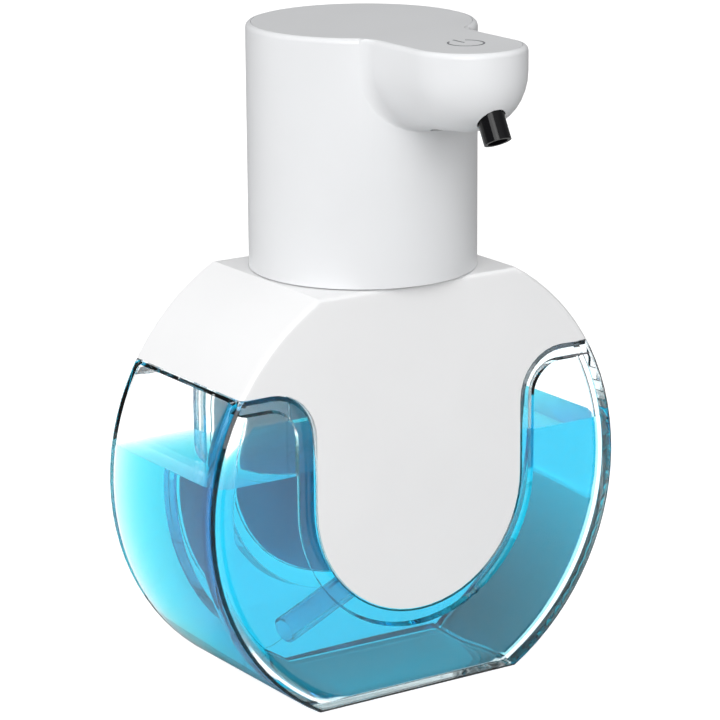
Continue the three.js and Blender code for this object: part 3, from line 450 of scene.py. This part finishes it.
def keep_largest_body(work):
    """The chamber's own fill stays, and scraps in the hook slot and the rebates go."""
    left, bodies = set(work.verts), []
    while left:
        body, waiting = set(), [left.pop()]
        while waiting:
            vert = waiting.pop()
            body.add(vert)
            for edge in vert.link_edges:
                other = edge.other_vert(vert)
                if other in left:
                    left.remove(other)
                    waiting.append(other)
        bodies.append(body)
    kept = max(bodies, key=len)
    scraps = [vert for body in bodies if body is not kept for vert in body]
    bmesh.ops.delete(work, geom=scraps, context="VERTS")


def soap_fill():
    """The soap fills the chamber up to its level, and reaches a little into the walls."""
    into_wall = 0.12 * MM
    work = soap_blank(*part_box("bottle"))
    mesh = bpy.data.meshes.new("soap")
    work.to_mesh(mesh)
    work.free()
    soap = bpy.data.objects.new("soap", mesh)
    scene.collection.objects.link(soap)
    cut = soap.modifiers.new("inside", "BOOLEAN")
    cut.operation = "DIFFERENCE"
    cut.solver = "EXACT"
    cut.object = bottle
    graph = bpy.context.evaluated_depsgraph_get()
    mesh = bpy.data.meshes.new_from_object(soap.evaluated_get(graph))
    soap.modifiers.clear()
    soap.data = mesh
    work = bmesh.new()
    work.from_mesh(mesh)
    bmesh.ops.remove_doubles(work, verts=work.verts, dist=SAME_PLACE)
    keep_largest_body(work)
    bmesh.ops.holes_fill(work, edges=work.edges, sides=4)
    work.normal_update()
    for vert in work.verts:
        vert.co += vert.normal * into_wall
    shade_smooth(work)
    work.to_mesh(mesh)
    work.free()
    mesh.materials.clear()
    mesh.materials.append(soap_liquid)
    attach(soap, "dispenser")


soap_fill()


# ------------------------------------------------------------------ marks
def add_mark(name, work, body):
    bmesh.ops.recalc_face_normals(work, faces=work.faces)
    mesh = bpy.data.meshes.new(name)
    work.to_mesh(mesh)
    work.free()
    mesh.materials.append(mark_grey)
    piece = bpy.data.objects.new(name, mesh)
    scene.collection.objects.link(piece)
    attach(piece, body)


def touch_mark():
    """The standby sign printed on the touch key: an open ring and a bar, in millimetres."""
    lid_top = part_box("top_cover")[1].z
    centre = Vector((1.0, HEAD_AXIS_Y - 44.0, 0)) * MM
    ring_radius, opening, steps = 4.4, 64, 48
    bar_length, bar_ahead = 4.6, 3.1
    line, under, over = 0.45, 0.01, 0.06  # the line's width, and its faces above the lid
    work = bmesh.new()
    corners = ((-line / 2, under), (line / 2, under), (line / 2, over), (-line / 2, over))
    section = work.faces.new([
        work.verts.new(((ring_radius + out) * MM, 0, lid_top + up * MM)) for out, up in corners])
    first_end = Matrix.Rotation(math.radians(90 + opening / 2), 3, "Z")
    bmesh.ops.rotate(work, cent=(0, 0, 0), matrix=first_end, verts=work.verts)
    bmesh.ops.spin(
        work, geom=[section], cent=(0, 0, 0), axis=(0, 0, 1), dvec=(0, 0, 0),
        angle=math.radians(360 - opening), steps=steps, use_duplicate=False)
    bmesh.ops.remove_doubles(work, verts=work.verts, dist=0.001 * MM)
    bar = bmesh.ops.create_cube(work, size=1)["verts"]
    bmesh.ops.scale(work, vec=(line * MM, bar_length * MM, (over - under) * MM), verts=bar)
    bmesh.ops.translate(
        work, vec=(0, bar_ahead * MM, lid_top + (over + under) / 2 * MM), verts=bar)
    bmesh.ops.translate(work, vec=centre, verts=work.verts)
    add_mark("touch_mark", work, "head")


def level_line():
    """The raised line on the front pane up to which the bottle is filled."""
    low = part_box("bottle")[0]
    width, thickness, height, softening = 8.4 * MM, 0.16 * MM, 0.5 * MM, 0.07 * MM
    across, ahead, up = 49 * MM, 0.04 * MM, 82.2 * MM
    work = bmesh.new()
    bmesh.ops.create_cube(work, size=1)
    bmesh.ops.scale(work, vec=(width, thickness, height), verts=work.verts)
    bmesh.ops.translate(work, vec=(across, low.y - ahead, low.z + up), verts=work.verts)
    bmesh.ops.bevel(
        work, geom=work.edges, offset=softening, offset_type="OFFSET", segments=2,
        profile=0.5, affect="EDGES", clamp_overlap=True, material=-1)
    add_mark("level_line", work, "dispenser")


touch_mark()
level_line()


# ------------------------------------------------------------------ studio
DARKER_SIDE = Vector((0.834, -0.5515, 0))
OVERHEAD = 0.87  # brightness of the studio's ceiling
THROUGH_WALLS = 2  # extra light on what stands behind the clear walls
FLOOR_GREY = 0.42
FLOOR_SEEN, FLOOR_THROUGH = 0.9, 1.15  # the floor's own light, direct and through the walls
LAMP_AIM = (0, -0.03, 0.02)


def grey_scale(tree, value, stops):
    """A grey for each value from -1 to 1."""
    place = tree.nodes.new("ShaderNodeMapRange")
    place.inputs["From Min"].default_value = -1
    place.inputs["From Max"].default_value = 1
    tree.links.new(value, place.inputs["Value"])
    greys = [((height + 1) / 2, (grey, grey, grey)) for height, grey in stops]
    return add_ramp(tree, place.outputs["Result"], greys)


def make_world():
    world = bpy.data.worlds.new("studio")
    scene.world = world
    world.use_nodes = True
    tree = world.node_tree
    links = tree.links
    background = tree.nodes["Background"]
    path = tree.nodes.new("ShaderNodeLightPath")
    through_walls = path.outputs["Is Transmission Ray"]
    where = tree.nodes.new("ShaderNodeTexCoord")
    split = tree.nodes.new("ShaderNodeSeparateXYZ")
    links.new(where.outputs["Generated"], split.inputs["Vector"])
    across = tree.nodes.new("ShaderNodeVectorMath")
    across.operation = "DOT_PRODUCT"
    across.inputs[1].default_value = DARKER_SIDE
    links.new(where.outputs["Generated"], across.inputs[0])

    # What lights the dispenser: grey walls round about, and a bright ceiling
    walls = grey_scale(
        tree, across.outputs["Value"], [(-1, 0.12), (-0.3, 0.12), (0.3, 0.22), (1, 0.22)])
    ceiling = grey_scale(tree, split.outputs["Z"], [(-1, 0), (0.5, 0), (0.8, 1), (1, 1)])
    lit = add_mix(tree)
    lit.inputs["B"].default_value = (OVERHEAD, OVERHEAD, OVERHEAD, 1)
    links.new(ceiling, lit.inputs["Factor"])
    links.new(walls, lit.inputs["A"])

    # What shows through the clear walls: pale low down, darker above
    seen = grey_scale(
        tree, split.outputs["Z"],
        [(-1, 0.9), (0, 0.9), (0.25, 0.6), (0.45, 0.42), (0.7, 0.2), (1, 0.05)])
    through = add_mix(tree)
    links.new(through_walls, through.inputs["Factor"])
    links.new(lit.outputs["Result"], through.inputs["A"])
    links.new(seen, through.inputs["B"])

    # What shows directly: white
    shown = add_mix(tree)
    shown.inputs["B"].default_value = (1, 1, 1, 1)
    links.new(path.outputs["Is Camera Ray"], shown.inputs["Factor"])
    links.new(through.outputs["Result"], shown.inputs["A"])
    links.new(shown.outputs["Result"], background.inputs["Color"])

    inside = add_math(tree, "MULTIPLY", through_walls, path.outputs["Diffuse Depth"])
    strength = add_math(tree, "MULTIPLY_ADD", inside, THROUGH_WALLS, 1)
    links.new(strength, background.inputs["Strength"])


def make_lamp(name, place, size, power):
    data = bpy.data.lights.new(name, "AREA")
    data.shape = "SQUARE"
    data.size = size
    data.energy = power
    lamp = bpy.data.objects.new(name, data)
    scene.collection.objects.link(lamp)
    lamp.location = place
    lamp.rotation_mode = "QUATERNION"
    lamp.rotation_quaternion = (Vector(LAMP_AIM) - Vector(place)).to_track_quat("-Z", "Y")
    return lamp


def make_floor():
    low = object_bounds()[0]
    work = bmesh.new()
    bmesh.ops.create_circle(work, cap_ends=True, segments=96, radius=4)
    bmesh.ops.translate(work, vec=(0, 0, low[2] - 0.2 * MM), verts=work.verts)
    mesh = bpy.data.meshes.new("floor")
    work.to_mesh(mesh)
    work.free()
    floor = bpy.data.objects.new("floor", mesh)
    scene.collection.objects.link(floor)
    material, shader, tree = new_material("floor_white")
    shader.inputs["Base Color"].default_value = (FLOOR_GREY, FLOOR_GREY, FLOOR_GREY, 1)
    shader.inputs["Roughness"].default_value = 1
    shader.inputs["Specular IOR Level"].default_value = 0
    shader.inputs["Emission Color"].default_value = (1, 1, 1, 1)
    path = tree.nodes.new("ShaderNodeLightPath")
    direct = add_math(tree, "MULTIPLY", path.outputs["Is Camera Ray"], FLOOR_SEEN)
    both = add_math(
        tree, "MULTIPLY_ADD", path.outputs["Is Transmission Ray"], FLOOR_THROUGH, direct)
    inside = add_math(tree, "MULTIPLY_ADD", path.outputs["Diffuse Depth"], THROUGH_WALLS, 1)
    total = add_math(tree, "MULTIPLY", both, inside)
    tree.links.new(total, shader.inputs["Emission Strength"])
    mesh.materials.append(material)


make_world()
make_lamp("key", (-0.75, -0.9, 0.65), 0.9, 8.9)
make_lamp("front", (-0.35, -1.15, 0.4), 0.9, 3.7)
side_lamp = make_lamp("side", (-0.95, 0.75, 0), 0.7, 8.4)
side_lamp.visible_glossy = False
side_lamp.visible_transmission = False
make_floor()
scene.view_settings.view_transform = "Standard"
scene.cycles.max_bounces = 32
scene.cycles.glossy_bounces = 24
scene.cycles.transmission_bounces = 24
